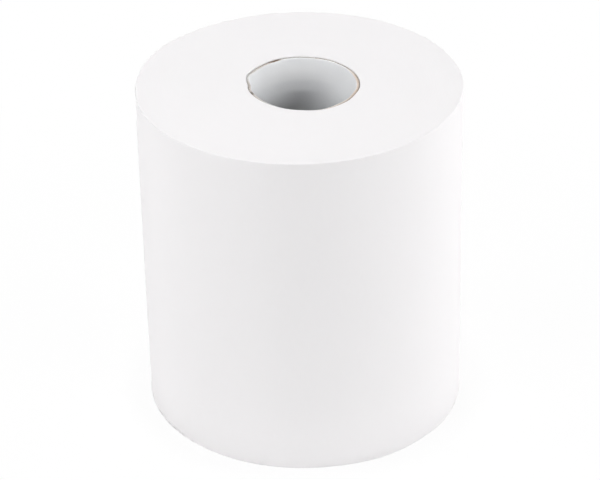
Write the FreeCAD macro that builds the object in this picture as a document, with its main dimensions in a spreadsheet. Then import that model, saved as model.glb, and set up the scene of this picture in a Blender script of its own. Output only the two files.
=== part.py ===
import FreeCAD, Part
import os
import Sketcher

# A centre pull paper towel roll standing on one end: a two-ply web wound on a paperboard core.
# Millimetres, +Z up. The origin is in the middle of the lower end face, on the core's axis.

os.makedirs("parts", exist_ok=True)
doc = FreeCAD.newDocument("paper_towel_roll")
V = FreeCAD.Vector

# Driving dimensions: alias, value and what it is.
SIZES = [
    ("roll_diameter", 188.0, "mean outside diameter, measured over the tail"),
    ("roll_press", 1.65, "shift of the outline's centres: the long half axis gains 0.41 of it, the short one loses it"),
    ("web_width", 200.0, "width of the web, which is the height of the roll"),
    ("rim_bevel", 0.6, "soft edge between the side and each end face"),
    ("sheet_step", 0.4, "height of the step where the tail ends: one sheet"),
    ("tail_angle", 59.0, "where the tail ends, in degrees about the axis"),
    ("core_diameter", 65.2, "outside diameter of the core, and of the hole in the winding"),
    ("core_wall", 1.6, "wall of the paperboard core"),
    ("core_setback", 0.6, "how far each end of the core lies below its end face"),
    ("mouth_depth", 50.0, "length of the upper stretch where the hole is pressed out of round"),
    ("mouth_squeeze", 1.3, "what the mouth's long half axis gains and its short one loses"),
    ("mouth_angle", 117.0, "direction of the mouth's long axis, in degrees about the axis"),
    ("winding_turns", 7, "turns of the winding line on each end face"),
    ("line_width", 0.6, "width of the winding line"),
    ("line_depth", 0.35, "depth of the winding line"),
    ("line_margin", 3.5, "plain land between the winding line and the hole or the rim"),
    ("overrun", 1.0, "how far a cutting form passes the face that it cuts"),
]

sheet = doc.addObject("Spreadsheet::Sheet", "Sizes")
for row, (alias, value, note) in enumerate(SIZES, start=1):
    sheet.set(f"A{row}", note)
    sheet.set(f"B{row}", str(value))
    sheet.setAlias(f"B{row}", alias)
doc.recompute()

# A sketch's own names for the ends of a line, its origin and its axes.
START = 1
END = START + 1
ORIGIN = X_AXIS = -1
Y_AXIS = X_AXIS - 1


def bind(item, expressions):
    """Ties properties of an object to the sheet."""
    for name, expression in expressions.items():
        item.setExpression(name, expression)


def drive(sketch, name, kind, places, expression):
    """Adds a named dimension to a sketch and ties it to the sheet."""
    first_layout = 1.0
    sketch.renameConstraint(sketch.addConstraint(Sketcher.Constraint(kind, *places, first_layout)), name)
    sketch.setExpression(f"Constraints.{name}", expression)


def closed_outline(sketch, corners):
    """Joins the corners with lines, end to end, and returns the lines' numbers."""
    points = [V(x, y, 0) for x, y in corners]
    lines = sketch.addGeometry([Part.LineSegment(a, b) for a, b in zip(points, points[1:] + points[:1])])
    for line, following in zip(lines, lines[1:] + lines[:1]):
        sketch.addConstraint(Sketcher.Constraint("Coincident", line, END, following, START))
    return lines


# ---- the wound web -------------------------------------------------------------------------------
# Its outline is the last lap of a spiral, drawn as with a compass: four quarter turns, each a quarter
# of a sheet larger than the one before, struck from the corners of a small square in turn. They meet
# tangent to each other, and the last ends one sheet proud of where the first began: that is the tail.
# The roll is pressed a little oval, so the corners also stand apart by the press: two opposite quarters
# are struck smaller and further out, the two others larger, and the long axis lies 45 degrees past the tail.

QUARTERS = 4
QUARTER_STEP = "Sizes.sheet_step / 4"
CENTRES = [(0, 0), (0, -1), (1, -1), (1, 0)]      # corners of the square, counted in quarter steps
PRESSED = [(1, 1), (1, -1), (-1, -1), (-1, 1)]    # and which way the press moves each


def half_section(body, quarter):
    """Half section of the web at the start of a quarter turn, with the rims bevelled."""
    sketch = body.newObject("Sketcher::SketchObject", f"web_section_{quarter}")
    plane = next(f for f in body.Origin.OriginFeatures if f.Role == "XZ_Plane")
    sketch.AttachmentSupport = [(plane, "")]
    sketch.MapMode = "FlatFace"
    turned = FreeCAD.Rotation(V(0, 1, 0), quarter * 360 / QUARTERS)
    sketch.AttachmentOffset = FreeCAD.Placement(V(0, 0, 0), turned)
    (x_steps, y_steps), (x_way, y_way) = CENTRES[quarter], PRESSED[quarter]
    bind(sketch, {
        "AttachmentOffset.Base.x": f"{x_steps} * {QUARTER_STEP} + {x_way} * Sizes.roll_press",
        "AttachmentOffset.Base.z": f"{-y_steps} * {QUARTER_STEP} + {-y_way} * Sizes.roll_press",   # faces -Y
    })
    bottom, low_bevel, side, high_bevel, top, inside = closed_outline(
        sketch, [(20, 0), (88, 0), (90, 2), (90, 188), (88, 190), (20, 190)])
    sketch.addConstraint([
        Sketcher.Constraint("PointOnObject", bottom, START, X_AXIS),
        Sketcher.Constraint("Horizontal", bottom),
        Sketcher.Constraint("Vertical", side),
        Sketcher.Constraint("Horizontal", top),
        Sketcher.Constraint("Vertical", inside),
        Sketcher.Constraint("Perpendicular", low_bevel, high_bevel),
        Sketcher.Constraint("Equal", low_bevel, high_bevel),
    ])
    drive(sketch, "height", "DistanceY", (inside, END, inside, START), "Sizes.web_width")
    drive(sketch, "bevel_run", "DistanceX", (low_bevel, START, low_bevel, END), "Sizes.rim_bevel")
    drive(sketch, "bevel_rise", "DistanceY", (low_bevel, START, low_bevel, END), "Sizes.rim_bevel")
    drive(sketch, "inner_radius", "DistanceX", (ORIGIN, START, inside, END), "Sizes.core_diameter / 4")
    drive(sketch, "outer_radius", "DistanceX", (ORIGIN, START, side, START),
          f"Sizes.roll_diameter / 2 - {QUARTERS - 1 - quarter} * {QUARTER_STEP} + {-x_way * y_way} * Sizes.roll_press")
    return sketch


def wound_web():
    body = doc.addObject("PartDesign::Body", "wound_web")
    for quarter in range(QUARTERS):
        section = half_section(body, quarter)
        turn = body.newObject("PartDesign::Revolution", f"web_quarter_{quarter}")
        turn.Profile = section
        turn.ReferenceAxis = (section, ["V_Axis"])
        turn.Angle = 360 / QUARTERS
        doc.recompute()
    bind(body, {"Placement.Rotation.Angle": "Sizes.tail_angle"})
    return body


# ---- the core ------------------------------------------------------------------------------------

MOUTH_SECTIONS = 4


def core_form(name, radius):
    """Solid of a given radius (an expression), round below and pressed oval towards the upper mouth."""
    barrel = doc.addObject("Part::Cylinder", f"{name}_barrel")
    bind(barrel, {
        "Radius": radius,
        "Height": "Sizes.web_width - Sizes.mouth_depth + Sizes.overrun",
        "Placement.Base.z": "-Sizes.overrun",
    })
    mouth = doc.addObject("Part::Loft", f"{name}_mouth")
    mouth.Solid = True
    mouth.Ruled = True
    ovals = []
    for index in range(MOUTH_SECTIONS):
        # The squeeze grows with the square of the height, so the oval leaves the round smoothly.
        rise = f"({index} / {MOUTH_SECTIONS - 1} * (Sizes.mouth_depth + Sizes.overrun))"
        squeeze = f"Sizes.mouth_squeeze * ({rise} / Sizes.mouth_depth) ^ 2"
        oval = doc.addObject("Part::Ellipse", f"{name}_oval_{index}")
        bind(oval, {
            "MajorRadius": f"{radius} + {squeeze}",
            "MinorRadius": f"{radius} - {squeeze}",
            "Placement.Base.z": f"Sizes.web_width - Sizes.mouth_depth + {rise}",
            "Placement.Rotation.Angle": "Sizes.mouth_angle",
        })
        ovals.append(oval)
    mouth.Sections = ovals
    form = doc.addObject("Part::Fuse", name)
    form.Base = barrel
    form.Tool = mouth
    return form


def core_tube(outside):
    """The glued paperboard tube, cut square a little below both end faces."""
    wall = doc.addObject("Part::Cut", "core_uncut")
    wall.Base = outside
    wall.Tool = core_form("core_inside", "(Sizes.core_diameter / 2 - Sizes.core_wall)")
    span = doc.addObject("Part::Cylinder", "core_span")
    bind(span, {
        "Radius": "Sizes.core_diameter",
        "Height": "Sizes.web_width - 2 * Sizes.core_setback",
        "Placement.Base.z": "Sizes.core_setback",
    })
    tube = doc.addObject("Part::Common", "core_tube")
    tube.Base = wall
    tube.Tool = span
    return tube


# ---- the turns on the end faces ------------------------------------------------------------------
# The web's edges lie in both end faces as one long spiral. A fine V groove follows it from the core
# to the rim, with its turns spread wide: one turn of the groove stands for many of the web. It winds
# the way the outline does, and starts and ends in line with the tail.

def winding_line(name, face_height, tilt):
    """The groove of one end face; tilt turns its root into the paper."""
    first_radius = "(Sizes.core_diameter / 2 + Sizes.mouth_squeeze + Sizes.line_margin)"
    last_radius = "(Sizes.roll_diameter / 2 - Sizes.rim_bevel - Sizes.line_margin)"
    spiral = doc.addObject("Part::Spiral", f"{name}_spiral")
    spiral.SegmentLength = 1
    bind(spiral, {
        "Radius": first_radius,
        "Growth": f"({last_radius} - {first_radius}) / Sizes.winding_turns",
        "Rotations": "Sizes.winding_turns",
        "Placement.Base.z": face_height,
    })
    # The notch is twice the groove's size, so that its upper half stands clear of the face.
    notch = doc.addObject("Sketcher::SketchObject", f"{name}_notch")
    notch.Placement = FreeCAD.Placement(V(0, 0, 0), FreeCAD.Rotation(V(1, 0, 0), tilt))
    bind(notch, {"Placement.Base.x": first_radius, "Placement.Base.z": face_height})
    lips, right_wall, left_wall = closed_outline(notch, [(-1, -1), (1, -1), (0, 1)])
    notch.addConstraint([
        Sketcher.Constraint("Symmetric", lips, START, lips, END, Y_AXIS),
        Sketcher.Constraint("PointOnObject", left_wall, START, Y_AXIS),
    ])
    drive(notch, "half_width", "DistanceX", (ORIGIN, START, lips, END), "Sizes.line_width")
    drive(notch, "lip_height", "DistanceY", (lips, END, ORIGIN, START), "Sizes.line_depth")
    drive(notch, "root_depth", "DistanceY", (ORIGIN, START, left_wall, START), "Sizes.line_depth")
    groove = doc.addObject("Part::Sweep", name)
    groove.Sections = [notch]
    groove.Spine = (spiral, [])
    groove.Solid = True
    groove.Frenet = True
    return groove


def paper_roll(web, seat):
    """The web with the core's seat through it and its turns showing on both end faces."""
    bored = doc.addObject("Part::Cut", "bored_web")
    bored.Base = web
    bored.Tool = seat
    lines = doc.addObject("Part::MultiFuse", "winding_lines")
    lines.Shapes = [winding_line("upper_line", "Sizes.web_width", -90), winding_line("lower_line", "0", 90)]
    bind(lines, {"Placement.Rotation.Angle": "Sizes.tail_angle"})
    roll = doc.addObject("Part::Cut", "paper_roll")
    roll.Base = bored
    roll.Tool = lines
    return roll


core_outside = core_form("core_outside", "Sizes.core_diameter / 2")
nodes = [paper_roll(wound_web(), core_outside), core_tube(core_outside)]
doc.recompute()

for item in doc.Objects:
    if "Invalid" in item.State or "Error" in item.State:
        raise RuntimeError(f"{item.Label} failed: {item.State}")
for node in nodes:
    if node.Shape.isNull() or not node.Shape.isValid():
        raise RuntimeError(f"{node.Label} has no valid shape")
for node in nodes:
    node.Shape.exportStep(f"parts/{node.Label}.step")
    print(f"{node.Label}: {len(node.Shape.Solids)} solid, {node.Shape.Volume / 1000:.0f} cm3")
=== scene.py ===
import bmesh
import bpy
import math
from mathutils import Matrix, Vector, noise


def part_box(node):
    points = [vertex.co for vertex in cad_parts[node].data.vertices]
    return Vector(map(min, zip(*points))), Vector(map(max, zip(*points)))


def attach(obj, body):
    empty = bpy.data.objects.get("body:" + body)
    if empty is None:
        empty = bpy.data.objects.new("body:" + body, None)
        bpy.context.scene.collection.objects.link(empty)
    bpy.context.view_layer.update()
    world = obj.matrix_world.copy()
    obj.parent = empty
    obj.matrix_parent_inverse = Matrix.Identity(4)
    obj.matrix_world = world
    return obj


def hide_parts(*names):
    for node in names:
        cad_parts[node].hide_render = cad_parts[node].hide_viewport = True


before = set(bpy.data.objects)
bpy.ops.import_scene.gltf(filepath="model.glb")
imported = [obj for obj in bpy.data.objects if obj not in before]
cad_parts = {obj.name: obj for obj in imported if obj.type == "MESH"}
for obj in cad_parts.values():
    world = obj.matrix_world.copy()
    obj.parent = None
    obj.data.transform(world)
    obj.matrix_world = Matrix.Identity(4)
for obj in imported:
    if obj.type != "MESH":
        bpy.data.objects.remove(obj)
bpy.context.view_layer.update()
print(f"frame: {len(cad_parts)} nodes")

rollLow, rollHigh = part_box("paper_roll")
coreLow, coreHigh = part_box("core_tube")
rollHeight = rollHigh.z
rollRadius = (rollHigh.x - rollLow.x + rollHigh.y - rollLow.y) / 4      # middle of the last lap
coreRadius = coreHigh.x                        # outside of the core, where it is round
fullTurn = 2 * math.pi
hair = 1e-6                                    # places nearer than this are the same
white = (1, 1, 1, 1)


def bell(distance, width):
    return math.exp(-(distance / width) ** 2)


def degreesFrom(centre, angle):
    # how far an angle in radians lies from a centre in degrees, the short way round
    return (math.degrees(angle) - centre + 180) % 360 - 180


def smoothStep(value, low, high):
    share = min(1.0, max(0.0, (value - low) / (high - low)))
    return share * share * (3 - 2 * share)


def uneven(around, rates, along):
    # about -1 to 1, closed on itself round the axis; rates: swings round the axis, swings in a metre along
    return noise.noise(around * rates[0] + Vector((0, 0, along * rates[1])))


def edgesOn(mesh, axis, place):
    # edges whose two ends both lie at a place along an axis: 0 is x, 2 is z
    return [edge for edge in mesh.edges if all(abs(vert.co[axis] - place) < hair for vert in edge.verts)]


def sectionOutline(mesh, inner, outer, low, high):
    # rectangle in the XZ plane: lower inside, lower outside, upper outside, upper inside
    corners = [mesh.verts.new((x, 0, z)) for x, z in
               [(inner, low), (outer, low), (outer, high), (inner, high)]]
    for first, second in zip(corners, corners[1:] + corners[:1]):
        mesh.edges.new((first, second))
    return corners


def roundCorners(mesh, corners, radius, segments):
    bmesh.ops.bevel(mesh, geom=corners, offset=radius, offset_type="OFFSET", segments=segments,
                    profile=0.5, affect="VERTICES", material=-1)


def turnSection(mesh, steps):
    # one full turn about the axis, closed on itself
    bmesh.ops.spin(mesh, geom=mesh.verts[:] + mesh.edges[:], cent=(0, 0, 0), axis=(0, 0, 1),
                   angle=fullTurn, steps=steps, use_merge=True)
    bmesh.ops.recalc_face_normals(mesh, faces=mesh.faces[:])
    for face in mesh.faces:
        face.smooth = True


def newPiece(name, mesh, material):
    data = bpy.data.meshes.new(name)
    mesh.to_mesh(data)
    mesh.free()
    data.materials.append(material)
    piece = bpy.data.objects.new(name, data)
    bpy.context.scene.collection.objects.link(piece)
    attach(piece, "root")
    print(f"{name}: {sum(len(face.vertices) - 2 for face in data.polygons)} triangles")
    return piece


class Wire:
    # one socket of a node tree; sums on it add Math nodes

    def __init__(self, tree, socket):
        self.tree = tree
        self.socket = socket

    def maths(self, operation, first, second=0.0):
        return self.tree.maths(operation, first, second)

    def __add__(self, other):
        return self.maths("ADD", self, other)

    def __radd__(self, other):
        return self.maths("ADD", other, self)

    def __sub__(self, other):
        return self.maths("SUBTRACT", self, other)

    def __rsub__(self, other):
        return self.maths("SUBTRACT", other, self)

    def __mul__(self, other):
        return self.maths("MULTIPLY", self, other)

    def __rmul__(self, other):
        return self.maths("MULTIPLY", other, self)

    def __truediv__(self, other):
        return self.maths("DIVIDE", self, other)

    def __pow__(self, other):
        return self.maths("POWER", self, other)

    def __abs__(self):
        return self.maths("ABSOLUTE", self)

    def floor(self):
        return self.maths("FLOOR", self)

    def fraction(self):
        return self.maths("FRACT", self)

    def over(self, other):
        return self.maths("MAXIMUM", self, other)


class NodeTree:
    # nodes of one material, or of the world

    def __init__(self, owner):
        owner.use_nodes = True
        self.tree = owner.node_tree
        self.tree.nodes.clear()

    def add(self, kind, settings=None, values=None, output=0):
        node = self.tree.nodes.new(kind)
        for name, value in (settings or {}).items():
            if name == "stops":
                self.setStops(node.color_ramp.elements, value)
            else:
                setattr(node, name, value)
        for name, value in (values or {}).items():
            socket = self.find(node.inputs, name)
            if isinstance(value, Wire):
                self.tree.links.new(value.socket, socket)
            else:
                socket.default_value = value
        return Wire(self, self.find(node.outputs, output)) if node.outputs else None

    def setStops(self, elements, stops):
        for index, (place, colour) in enumerate(stops):
            stop = elements[index] if index < len(elements) else elements.new(place)
            stop.position = place
            stop.color = colour

    def maths(self, operation, first, second=0.0):
        return self.add("ShaderNodeMath", {"operation": operation}, {0: first, 1: second})

    def find(self, sockets, name):
        if isinstance(name, int):
            return sockets[name]
        return next(socket for socket in sockets if name in (socket.identifier, socket.name))

    def mixColour(self, share, first, second):
        return self.add("ShaderNodeMix", {"data_type": "RGBA"},
                        {"Factor_Float": share, "A_Color": first, "B_Color": second}, "Result_Color")

    def fade(self, value, low, high):
        # 0 at low, 1 at high, smooth between
        return self.add("ShaderNodeMapRange", {"interpolation_type": "SMOOTHSTEP"},
                        {"Value": value, "From Min": low, "From Max": high})

    def noiseAt(self, x, y, z=0.0, detail=2.0):
        # about -1 to 1, with one swing for each unit of the numbers given
        vector = self.add("ShaderNodeCombineXYZ", None, {"X": x, "Y": y, "Z": z})
        value = self.add("ShaderNodeTexNoise", None, {"Vector": vector, "Scale": 1.0, "Detail": detail})
        return (value - 0.5) * 2.0

    def unrolled(self, startAngle):
        # share of a turn since the start angle, distance from the axis, height
        place = self.add("ShaderNodeTexCoord", output="Object")
        turned = self.add("ShaderNodeMapping", None,
                          {"Vector": place, "Rotation": (0, 0, math.pi - math.radians(startAngle))})
        split = self.add("ShaderNodeSeparateXYZ", None, {"Vector": turned})
        x, y, z = [Wire(self, socket) for socket in split.socket.node.outputs]
        turn = self.maths("ARCTAN2", y, x) / fullTurn + 0.5
        return turn, (x * x + y * y) ** 0.5, z

    def facing(self, turn, angle):
        # 1 in a direction in degrees, 0 in the opposite one, for turns counted from the same start
        return self.maths("COSINE", (turn - angle / 360) * fullTurn) * 0.5 + 0.5

    def seenDirectly(self):
        # 1 for rays that come from the eye, straight or by a mirror or a glass, and 0 for bounced light
        light = self.add("ShaderNodeLightPath", output="Is Camera Ray")
        glossy, clear = [Wire(self, self.find(light.socket.node.outputs, name))
                         for name in ("Is Glossy Ray", "Is Transmission Ray")]
        return light.over(glossy).over(clear)

    def surface(self, colour, relief, roughness, gloss):
        # relief is a height in metres, which the bump takes in millimetres
        millimetre = 0.001
        bump = {"Height": relief * (1 / millimetre), "Distance": millimetre}
        normal = self.add("ShaderNodeBump", None, bump)
        shader = self.add("ShaderNodeBsdfPrincipled", None,
                          {"Base Color": colour, "Roughness": roughness, "Specular IOR Level": gloss,
                           "Normal": normal})
        self.add("ShaderNodeOutputMaterial", None, {"Surface": shader})


mouth = {
    "depth": 0.050,         # below this the hole is round
    "squeeze": 0.0013,      # gain of the long half axis at the top, loss of the short one
    "angle": 117,           # direction of the long axis, degrees
    "flare": 0.0002,        # gain all round at the top
    "lean": Vector((0.0024, 0.0013, 0)),     # how far off centre the core's upper end lies
    "dents": [              # centre and half width in degrees, depth inwards, reach down the wall
        (134, 9, 0.0003, 0.030),
        (160, 8, -0.0009, 0.022),
        (182, 7, 0.0008, 0.020),
        (-124, 10, 0.0002, 0.026),
        (-93, 8, 0.0003, 0.026),
        (-72, 14, -0.0007, 0.030),
        (-28, 9, 0.0004, 0.025),
        (60, 9, -0.0003, 0.020),
        (96, 12, 0.0003, 0.022),
    ],
    "dentFade": 1.5,        # power with which a dent fades down the wall
}


def mouthPush(angle, z):
    # how far the hole's wall moves outwards at this angle and height
    rise = max(0.0, 1 - (rollHeight - z) / mouth["depth"])
    push = mouth["squeeze"] * rise ** 2 * math.cos(2 * (angle - math.radians(mouth["angle"])))
    push += mouth["flare"] * rise ** 2
    for centre, width, depth, reach in mouth["dents"]:
        near = max(0.0, 1 - (rollHeight - z) / reach)
        push -= depth * near ** mouth["dentFade"] * bell(degreesFrom(centre, angle), width)
    return push


paperRoll = {
    "rim": 0.0005,
    "rimSegments": 6,
    "holeEdge": 0.0002,
    "holeSegments": 3,
    "steps": 256,
    "faceRings": 108,
    "sideRows": 40,
    "wallRows": 14,
    "crevice": 0.00030,      # between the hole's wall and the core
    "mouthSpread": 0.010,    # how far into the end face the paper follows the mouth
    "lap": 0.0004,           # one sheet
    "tailAngle": 59,         # where the web ends, degrees
    "tailLift": 0.00025,     # how far the loose edge stands off the lap below
    "tailLoose": 9,          # degrees over which it comes away
    "tailPocket": 1.3,       # degrees that the gap under it goes in
    "pocketShares": (0.67, 0.33),     # where the last two columns stand on the end faces, shares of the gap
    "tailLip": 0.35,         # how far down the step the loose edge's own thickness reaches
    "tailWaver": 0.30,       # how far its edge strays from straight, degrees
    "waverRate": 70,
    "waverSeed": 3.7,
    "waverFrom": 0.97,       # share of the lap past which the columns follow the edge
    "sideWave": 0.00012,
    "waveRates": (2.2, 14),
    "oval": 0.0007,          # the roll is pressed a little oval, like its core
    "ovalAngle": 104,
    "foot": [                # the lower edge spreads or draws in: centre, half width, outwards, reach up
        (-32, 14, 0.0012, 0.022),
        (-60, 14, 0.0012, 0.022),
        (-150, 26, -0.0011, 0.060),
    ],
    "shoulder": [            # and the upper edge: centre, half width, outwards, reach down
        (152, 14, 0.0009, 0.160),
        (182, 12, -0.0006, 0.030),
        (28, 18, -0.0006, 0.120),
    ],
    "faceGive": 0.012,       # how far in from the rim the end face moves with the side
    "faceShare": 0.3,        # and how much of the side's move it takes
    "bunchPitch": 0.00182,   # laps lie in bunches, each a low ridge on the end faces
    "bunchDepth": 0.00006,
    "bunchGrain": 0.4,       # how uneven the ridges are
    "grainRates": (3, 400),
    "bandPitch": 0.008,      # and some stretches of the web lie lower than others
    "bandDepth": 0.00020,
    "bandRates": (0.35, 9),
    "bandSeed": 5.1,
    "plainLand": 0.003,      # by the hole and by the rim the end faces come back to the plane
    "leanEdge": 0.004,       # the turns this near the rim don't lean with the core
}


def tailColumn(column, z):
    # angle past the tail on the side and on the end faces, share of the last lap, depth in the pocket;
    # the last two columns fold back under the loose edge, down to the lap below
    p = paperRoll
    pocketColumns = 2
    edge = p["steps"] - pocketColumns - 1
    pocket = math.radians(p["tailPocket"])
    waver = math.radians(p["tailWaver"]) * noise.noise(Vector((0, p["waverSeed"], z * p["waverRate"])))
    if column <= edge:
        share = column / edge
        near = smoothStep(share, p["waverFrom"], 1)
        return share * fullTurn + waver * near, share * fullTurn - pocket * near, share, 0.0
    outerShare, innerShare = p["pocketShares"]
    if column == edge + 1:
        return fullTurn + waver, fullTurn - pocket * outerShare, 1.0, p["tailLip"]
    return fullTurn - pocket, fullTurn - pocket * innerShare, 1.0, 1.0


def shapePaper(mesh):
    p = paperRoll
    wallRadius = coreRadius + p["crevice"]
    rimStart = rollRadius - p["rim"]
    for vert in mesh.verts:
        radius, z = vert.co.xy.length, vert.co.z
        column = round(math.atan2(vert.co.y, vert.co.x) / fullTurn * p["steps"]) % p["steps"]
        onSide, onFace, share, pocket = tailColumn(column, z)
        outer = smoothStep(radius, rimStart, rollRadius)      # 1 on the side, 0 on the end faces
        angle = math.radians(p["tailAngle"]) + onSide * outer + onFace * (1 - outer)

        # the side: one lap of the spiral, the loose tail, and slight unevenness
        loose = smoothStep(share, 1 - p["tailLoose"] / 360, 1)
        sideMove = p["lap"] * (share - 0.5) + p["tailLift"] * loose ** 2
        sideMove -= pocket * (p["lap"] + p["tailLift"])
        around = Vector((math.cos(angle), math.sin(angle), 0))
        sideMove += p["sideWave"] * uneven(around, p["waveRates"], z)
        sideMove += p["oval"] * math.cos(2 * (angle - math.radians(p["ovalAngle"])))
        for edge, away in (("foot", z), ("shoulder", rollHeight - z)):
            for centre, width, out, reach in p[edge]:
                sideMove += out * bell(degreesFrom(centre, angle), width) * smoothStep(reach - away, 0, reach)
        move = sideMove * smoothStep(radius, rollRadius - p["faceGive"], rimStart)
        move *= p["faceShare"] + (1 - p["faceShare"]) * outer

        # the hole follows the core's mouth, and the end face round it follows the hole
        nearHole = smoothStep(wallRadius + p["mouthSpread"] - radius, 0, p["mouthSpread"])
        move += mouthPush(angle, z) * nearHole

        # the end faces: the edges of the turns, wound from the hole to the rim
        bunch = radius / p["bunchPitch"] - share
        grain = 1 - p["bunchGrain"] + p["bunchGrain"] * uneven(around, p["grainRates"], radius)
        ridge = p["bunchDepth"] * grain * (0.5 - 0.5 * math.cos(bunch * fullTurn))
        band = (radius - p["lap"] * share) / p["bandPitch"]
        roundRate, endRate = p["bandRates"]
        dip = noise.noise(Vector((band, p["bandSeed"], z * endRate)) + around * roundRate)
        sink = ridge + p["bandDepth"] * (0.5 + 0.5 * dip)
        sink *= smoothStep(radius, wallRadius, wallRadius + p["plainLand"])
        sink *= smoothStep(rollRadius - radius, p["rim"], p["rim"] + p["plainLand"])
        if z > rollHeight - hair:
            z -= sink
        elif z < hair:
            z += sink
        # the turns crowd together on the side that the core leans to
        lean = mouth["lean"] * (vert.co.z / rollHeight)
        lean *= smoothStep(rollRadius - radius, p["leanEdge"], rollRadius - wallRadius)
        vert.co = around * (radius + move) + lean + Vector((0, 0, z))


def makePaperRoll(material):
    p = paperRoll
    mesh = bmesh.new()
    wall = coreRadius + p["crevice"]
    corners = sectionOutline(mesh, wall, rollRadius, 0, rollHeight)
    roundCorners(mesh, corners[1:3], p["rim"], p["rimSegments"])
    roundCorners(mesh, [corners[0], corners[3]], p["holeEdge"], p["holeSegments"])
    for axis, place, cuts in ((2, 0, p["faceRings"]), (2, rollHeight, p["faceRings"]),
                              (0, rollRadius, p["sideRows"]), (0, wall, p["wallRows"])):
        bmesh.ops.subdivide_edges(mesh, edges=edgesOn(mesh, axis, place), cuts=cuts)
    turnSection(mesh, p["steps"])
    shapePaper(mesh)
    piece = newPiece("paper_roll_wound", mesh, material)
    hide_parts("paper_roll")


coreTube = {
    "wall": 0.0016,
    "steps": 360,
    "innerRows": 60,
    "outerRows": 15,
    "cutRings": 5,           # across the cut edge
    "innerLip": 0.00030,
    "innerSegments": 3,
    "outerLip": 0.00020,
    "outerSegments": 2,
    "setback": [             # angle in degrees and how far the upper edge lies below the end face
        (-180, 0.0006), (-90, 0.0009), (-45, 0.0003), (0, 0.0001), (90, 0.0004), (180, 0.0006),
    ],
    # the plies are partly the board's own grey and brown and partly painted shade: where they run high, the
    # cut is painted dark for the shade in the crevice beside the paper and where the cut gets little light
    "cut": [                 # angle, ply at the cut's inner and outer corner, how brown the board is there
        (-180, 0.4, 0.8, 0.3), (-165, 0.3, 0.7, 0.3), (-150, 0.3, 0.8, 0.3), (-120, 0.2, 0.7, 0),
        (-90, 0, 0.5, 0.1), (-60, 0, 0.7, 0.6), (-40, 0.1, 1.1, 0.6), (-25, 0.1, 0.95, 0.85),
        (-12, 0.05, 0.95, 0.75), (12, 0.1, 1.0, 0.75), (25, -0.1, 1.0, 0.4), (40, -0.5, 1.5, 0.2),
        (60, -0.5, 1.25, 0.2), (75, -0.4, 1.8, 0.3), (95, -0.5, 1.6, 0), (110, -0.3, 1.5, 0.1),
        (119, 0, 1.5, 1), (128, 0.3, 1.3, 0.4), (150, 0.2, 1.1, 0.2), (165, 0, 0.6, 0), (180, 0.4, 0.8, 0.3),
    ],
    "endReach": 0.006,       # how far down the wall the cut's rise and fall is felt
    "cutReach": 0.0008,      # how far down the cut's roughness is
    "fray": 0.00012,
    "frayRates": (45, 900),
    "chipRates": (60, 2000),
    "chipSink": 0.3,         # chips go more down than up
    "chipPly": 0.0008,       # where the board stands up this much more, the next ply shows
    "ragged": [              # where the cut is rough: centre and half width in degrees, depth
        (189, 5, 0.0005), (-68, 9, 0.0004), (-20, 6, 0.0002),
    ],
    "tears": [               # centre and half width in degrees, reach down the wall, plies laid bare
        (119, 5.5, 0.0006, 1.6),
        (200, 3.2, 0.0003, 1.1),
    ],
    "tearDepth": 0.0002,     # for each ply laid bare
    "linerPly": -0.5,        # any value below 0 stands for the liner
}


def valueRound(stops, angle, column=1):
    # smooth between stops: each has an angle in degrees and its values
    degrees = degreesFrom(0, angle)
    for low, high in zip(stops, stops[1:]):
        if low[0] <= degrees <= high[0]:
            return low[column] + (high[column] - low[column]) * smoothStep(degrees, low[0], high[0])


def shapeCore(mesh):
    c = coreTube
    ply = mesh.verts.layers.float.new("ply")
    brown = mesh.verts.layers.float.new("brown")
    inner = coreRadius - c["wall"]
    for vert in mesh.verts:
        radius, z = vert.co.xy.length, vert.co.z
        angle = math.atan2(vert.co.y, vert.co.x)
        around = Vector((math.cos(angle), math.sin(angle), 0))
        depth = rollHeight - z
        top = smoothStep(depth, c["endReach"], 0)
        edge = smoothStep(depth, c["cutReach"], 0)
        torn = sum(plies * bell(degreesFrom(centre, angle), width) * smoothStep(depth, reach, 0)
                   for centre, width, reach, plies in c["tears"])
        ragged = sum(size * bell(degreesFrom(centre, angle), width) for centre, width, size in c["ragged"])
        fray = uneven(around, c["frayRates"], radius)
        chips = uneven(around, c["chipRates"], radius)
        across = (radius - inner) / c["wall"]
        onLiner = radius < inner + hair

        vert[ply] = c["linerPly"]
        if not onLiner:
            first, last = valueRound(c["cut"], angle), valueRound(c["cut"], angle, 2)
            vert[ply] = first + (last - first) * across + torn + ragged * chips * edge / c["chipPly"]
            vert[brown] = valueRound(c["cut"], angle, 3)
        z -= valueRound(c["setback"], angle) * top
        z += (c["fray"] * fray + ragged * (chips - c["chipSink"])) * edge
        move = mouthPush(angle, z) - c["tearDepth"] * torn * onLiner
        vert.co = around * (radius + move) + mouth["lean"] * (z / rollHeight) + Vector((0, 0, z))


def makeCoreTube(material):
    c = coreTube
    mesh = bmesh.new()
    inner = coreRadius - c["wall"]
    corners = sectionOutline(mesh, inner, coreRadius, coreLow.z, rollHeight)
    roundCorners(mesh, [corners[0], corners[3]], c["innerLip"], c["innerSegments"])
    roundCorners(mesh, corners[1:3], c["outerLip"], c["outerSegments"])
    for axis, place, cuts in ((2, coreLow.z, c["cutRings"]), (2, rollHeight, c["cutRings"]),
                              (0, inner, c["innerRows"]), (0, coreRadius, c["outerRows"])):
        bmesh.ops.subdivide_edges(mesh, edges=edgesOn(mesh, axis, place), cuts=cuts)
    turnSection(mesh, c["steps"])
    shapeCore(mesh)
    piece = newPiece("core_tube_board", mesh, material)
    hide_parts("core_tube")


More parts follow.
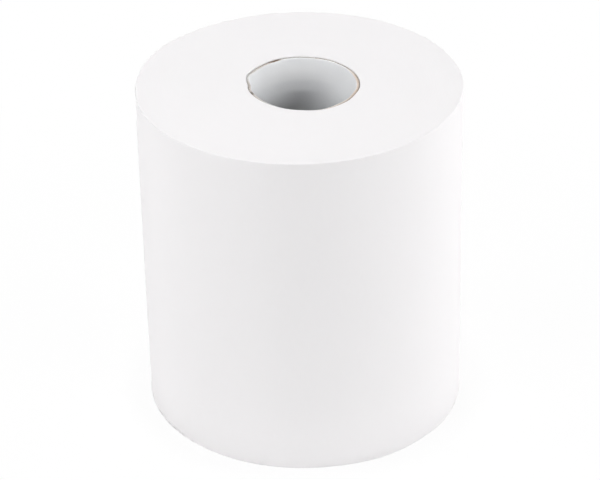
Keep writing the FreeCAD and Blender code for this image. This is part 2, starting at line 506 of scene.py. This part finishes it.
towelPaper = {
    "colour": (0.925, 0.912, 0.919, 1),
    "shadeColour": (0.890, 0.874, 0.884, 1),
    "roughness": 0.95,
    "gloss": 0.2,
    "faceEdge": (0.0009, 0.0004),     # distances from an end face at which its look sets in and is full
    "crepePitch": 0.0005,    # fine ridges parallel to the axis
    "crepeLength": 0.005,
    "crepeDepth": 0.00003,
    "pillowSize": 0.011,     # and soft cushions in the sheet
    "pillowDepth": 0.00008,
    "pillowSeed": 4.0,
    "lapDepth": 0.00005,     # the sheet's edge in the end faces
    "lapGrain": 0.00004,
    "tintRate": 0.9,         # swings of the web's tint in one turn
    "slowRates": (3.0, 9.0, 30.0),    # of the roll's own tint: in a turn, in a metre up, in a metre outwards
    "faceShade": (0.25, 0.35, 0.12),  # share of the shade colour: always, with the tint, and painted shade at the sheet's edge, between the laps
    "sideShade": (0.18, 0.20, 0.12),  # always, with the crepe, with the slow tint
}


def makeTowelPaper():
    p = towelPaper
    lap = paperRoll["lap"]
    material = bpy.data.materials.new("towel_paper")
    tree = NodeTree(material)
    turn, radius, z = tree.unrolled(paperRoll["tailAngle"])

    # 1 on the end faces, 0 on the side and on the hole's wall
    fromMiddle = abs(z - rollHeight / 2)
    onFace = tree.fade(fromMiddle, *[rollHeight / 2 - away for away in p["faceEdge"]])

    # the web's length is counted in turns from the axis, so a turn differs a little from the next
    lapPlace = radius / lap - turn
    webPlace = lapPlace.floor() + turn
    lapTint = tree.noiseAt(webPlace * p["tintRate"], 0.0, detail=3.0)
    lapEdge = abs(lapPlace.fraction() - 0.5) * 2.0
    slowTint = tree.noiseAt(*[place * rate for place, rate in zip((turn, z, radius), p["slowRates"])])

    # crepe on the side: short ridges that run with the axis
    arc = turn * (fullTurn * rollRadius)
    crepe = tree.noiseAt(arc / p["crepePitch"], z / p["crepeLength"])
    pillow = tree.noiseAt(arc / p["pillowSize"], z / p["pillowSize"], p["pillowSeed"], detail=1.0)
    sideRelief = crepe * p["crepeDepth"] + pillow * p["pillowDepth"]
    faceRelief = (lapEdge * lapEdge) * (-p["lapDepth"]) + lapTint * p["lapGrain"]
    relief = sideRelief * (1 - onFace) + faceRelief * onFace

    # the sheet's edges are painted darker, as painted shade in the gaps between the laps
    always, withTint, paintedEdgeShade = p["faceShade"]
    shade = (always + lapTint * withTint + lapEdge * paintedEdgeShade) * onFace
    always, withCrepe, withSlow = p["sideShade"]
    shade = shade + (always + crepe * withCrepe + slowTint * withSlow) * (1 - onFace)
    colour = tree.mixColour(shade, p["colour"], p["shadeColour"])
    tree.surface(colour, relief, p["roughness"], p["gloss"])
    return material


coreBoard = {
    "startAngle": -90,       # turns are counted from here, degrees
    "roughness": 0.8,
    "gloss": 0.3,
    "liner": (0.898, 0.905, 0.914, 1),
    "linerShade": (0.838, 0.845, 0.858, 1),
    "linerShare": (0.35, 0.25, 0.30),        # share of the shade: always, with the fibre, with the patches
    "paintedLinerLightAndShade": [         # painted light and painted shade down the liner, paler near the rim and darker deep in the tube: direction in degrees, how narrow it is, depths over which it sets in, and over which it ends, strength, colour
                             # depths over which it sets in, and over which it ends, strength, colour
        # painted light: a paler place on the far wall just below the rim
        (94, 12, (0.0010, 0.0080), (0.0128, 0.0160), 0.50, (1.0, 1.0, 1.0, 1)),
        # painted shade: darker deep in the tube, where little light gets in
        (105, 19, (0.0200, 0.0360), (0.1900, 0.2000), 1.00, (0.49, 0.49, 0.49, 1)),
        # painted shade: a narrower darker dome deeper down the far wall
        (89, 56, (0.0195, 0.0232), (0.0310, 0.0370), 0.27, (0.1, 0.1, 0.1, 1)),
    ],
    "lastPly": 1.6,
    "greyPlies": [           # colours across the cut, from the pale lining ply outwards: ply, colour; the darkest stops also serve as painted shade of the crevice beside the paper
        (0.0, (0.85, 0.85, 0.84, 1)), (0.6, (0.50, 0.49, 0.48, 1)), (1.0, (0.30, 0.285, 0.27, 1)),
        (1.6, (0.12, 0.11, 0.10, 1)),
    ],
    "brownPlies": [
        (0.0, (0.92, 0.77, 0.70, 1)), (0.5, (0.62, 0.49, 0.40, 1)), (1.0, (0.38, 0.29, 0.22, 1)),
        (1.6, (0.13, 0.085, 0.055, 1)),
    ],
    "plyFibre": 0.12,        # how far the fibres carry one ply's colour into the next
    "plyEdge": (-0.04, 0.06),         # between these plies the liner gives way to the cut
    "seamLead": 0.131,       # rise of the board's seam in one turn
    "seamStart": 3.2,
    "seamWidth": 0.006,
    "seamDepth": 0.00008,
    "seamShade": 0.5,
    "grainSize": 0.0012,
    "grainSeed": 1.3,
    "grainDepth": 0.00002,
    "patchSize": (0.011, 0.017),
    "patchSeed": 2.1,
}


def makeCoreBoard():
    b = coreBoard
    material = bpy.data.materials.new("core_board")
    tree = NodeTree(material)
    turn, _, z = tree.unrolled(b["startAngle"])
    arc = turn * (fullTurn * coreRadius)
    fibre = tree.noiseAt(arc / b["grainSize"], z / b["grainSize"], b["grainSeed"], detail=3.0)
    patchWidth, patchHeight = b["patchSize"]
    patch = tree.noiseAt(arc / patchWidth, z / patchHeight, b["patchSeed"])

    # the strips that the tube was wound from meet in a seam that climbs round it
    climb = (z / b["seamLead"] - turn + b["seamStart"]).fraction()
    seam = 1 - tree.fade(abs(climb - 0.5), 0.0, b["seamWidth"])
    always, withFibre, withPatch = b["linerShare"]
    liner = tree.mixColour(always + fibre * withFibre + patch * withPatch, b["liner"], b["linerShade"])
    liner = tree.mixColour(seam * b["seamShade"], liner, b["linerShade"])
    depth = rollHeight - z
    # painted light and painted shade mixed into the liner's colour by direction and depth
    for angle, narrowness, start, end, strength, shade in b["paintedLinerLightAndShade"]:
        share = tree.facing(turn, angle - b["startAngle"]) ** narrowness
        share = share * tree.fade(depth, *start) * (1 - tree.fade(depth, *end)) * strength
        liner = tree.mixColour(share, liner, shade)

    # the cut: grey plies, or brown ones where the board is brown; its darkest plies are partly painted shade
    # of the crevice
    ply, brown = [tree.add("ShaderNodeAttribute", {"attribute_name": name}, output="Fac")
                  for name in ("ply", "brown")]
    plyShare = (ply + fibre * b["plyFibre"]) / b["lastPly"]
    cut = []
    for plies in ("greyPlies", "brownPlies"):
        stops = [(place / b["lastPly"], shade) for place, shade in b[plies]]
        cut.append(tree.add("ShaderNodeValToRGB", {"stops": stops}, {"Fac": plyShare}))
    colour = tree.mixColour(tree.fade(ply, *b["plyEdge"]), liner, tree.mixColour(brown, *cut))
    relief = fibre * b["grainDepth"] - seam * b["seamDepth"]
    tree.surface(colour, relief, b["roughness"], b["gloss"])
    return material


towelMaterial = makeTowelPaper()
boardMaterial = makeCoreBoard()
print(f"materials: {towelMaterial.name}, {boardMaterial.name}")
makePaperRoll(towelMaterial)
makeCoreTube(boardMaterial)


studio = {
    "floorRadius": 3.0,
    "floorSides": 96,
    "floorColour": (0.86, 0.86, 0.86, 1),
    "paintedFootLight": (0.98, 0.98, 0.98, 1),     # painted light: the floor round the roll, which the roll itself shades, is paler to bounced light to make up for that shade
    "footReach": (0.102, 0.150),
    "seenFloor": (0.96, 0.96, 0.96, 1),
    "shadowShare": 0.08,     # how much of the floor's own shading shows
    "shadowReach": (0.16, 0.42),
    "lampDistance": 1.5,
    "lampAim": (0, 0, 0.10),
    "lamps": [               # name, direction and height in degrees, width, power
        ("rightLowLamp", 0, 20, 0.7, 3.1),
        ("rightHighLamp", 0, 40, 0.7, 3.1),
        ("rightBackLamp", 20, 20, 0.7, 2.7),
        ("leftLamp", 180, 40, 0.7, 6.95),
        ("leftFrontLamp", 200, 20, 0.7, 1.45),
        ("frontLeftLowLamp", 225, 20, 0.7, 4.6),
        ("frontLeftHighLamp", 225, 40, 0.7, 2.5),
        ("frontRightLamp", -45, 20, 0.7, 7.7),
        ("backRightLamp", 45, 12, 0.7, 1.1),
        ("backLowLamp", 90, 10, 0.7, 5.2),
        ("backHighLamp", 90, 35, 0.7, 2.2),
        ("overheadLamp", 0, 90, 0.12, 6.55),
    ],
}


def makeFloor():
    s = studio
    mesh = bmesh.new()
    bmesh.ops.create_circle(mesh, cap_ends=True, radius=s["floorRadius"], segments=s["floorSides"])
    data = bpy.data.meshes.new("floor")
    mesh.to_mesh(data)
    mesh.free()
    floor = bpy.data.objects.new("floor", data)
    bpy.context.scene.collection.objects.link(floor)
    material = bpy.data.materials.new("floor")
    data.materials.append(material)
    tree = NodeTree(material)
    _, radius, _ = tree.unrolled(0)
    seen = tree.seenDirectly()
    plain = seen * (1 - s["shadowShare"] * (1 - tree.fade(radius, *s["shadowReach"])))
    # painted light: the floor is paler round the roll, where the roll shades it; only bounced light sees it
    colour = tree.mixColour(tree.fade(radius, *s["footReach"]), s["paintedFootLight"], s["floorColour"])
    colour = tree.mixColour(seen, colour, s["seenFloor"])
    diffuse = tree.add("ShaderNodeBsdfDiffuse", None, {"Color": colour})
    backdrop = tree.add("ShaderNodeEmission", None, {"Color": white, "Strength": 1.0})
    shader = tree.add("ShaderNodeMixShader", None, {0: plain, 1: diffuse, 2: backdrop})
    tree.add("ShaderNodeOutputMaterial", None, {"Surface": shader})


def makeWorld():
    world = bpy.data.worlds.new("studio")
    bpy.context.scene.world = world
    tree = NodeTree(world)
    background = tree.add("ShaderNodeBackground", None, {"Color": white, "Strength": tree.seenDirectly()})
    tree.add("ShaderNodeOutputWorld", None, {"Surface": background})


def makeLamps():
    for name, direction, height, width, power in studio["lamps"]:
        data = bpy.data.lights.new(name, "AREA")
        data.shape = "DISK"
        data.size = width
        data.energy = power
        lamp = bpy.data.objects.new(name, data)
        tilted = Matrix.Rotation(math.radians(-height), 3, "Y") @ Vector((studio["lampDistance"], 0, 0))
        away = Matrix.Rotation(math.radians(direction), 3, "Z") @ tilted
        lamp.location = Vector(studio["lampAim"]) + away
        lamp.rotation_euler = away.to_track_quat("Z", "Y").to_euler()
        lamp.visible_camera = False
        bpy.context.scene.collection.objects.link(lamp)


camera = {
    "lens": 160.7,
    "sensor": 36,
    "distance": 1.5723,      # from the middle of the roll
    "elevation": 30.42,
    "roll": -1.22,
    "shift": (-0.0033, -0.0075),
}


def makeCamera():
    c = camera
    data = bpy.data.cameras.new("camera")
    data.lens = c["lens"]
    data.sensor_width = c["sensor"]
    data.shift_x, data.shift_y = c["shift"]
    view = bpy.data.objects.new("camera", data)
    elevation = math.radians(c["elevation"])
    away = Vector((0, -math.cos(elevation), math.sin(elevation))) * c["distance"]
    place = Matrix.Translation(Vector((0, 0, rollHeight / 2)) + away)
    tilt = Matrix.Rotation(math.pi / 2 - elevation, 4, "X")
    view.matrix_world = place @ tilt @ Matrix.Rotation(math.radians(c["roll"]), 4, "Z")
    bpy.context.scene.collection.objects.link(view)
    bpy.context.scene.camera = view


makeFloor()
makeWorld()
makeLamps()
makeCamera()
bpy.context.scene.view_settings.view_transform = "Standard"
print("stage, light and camera are set")
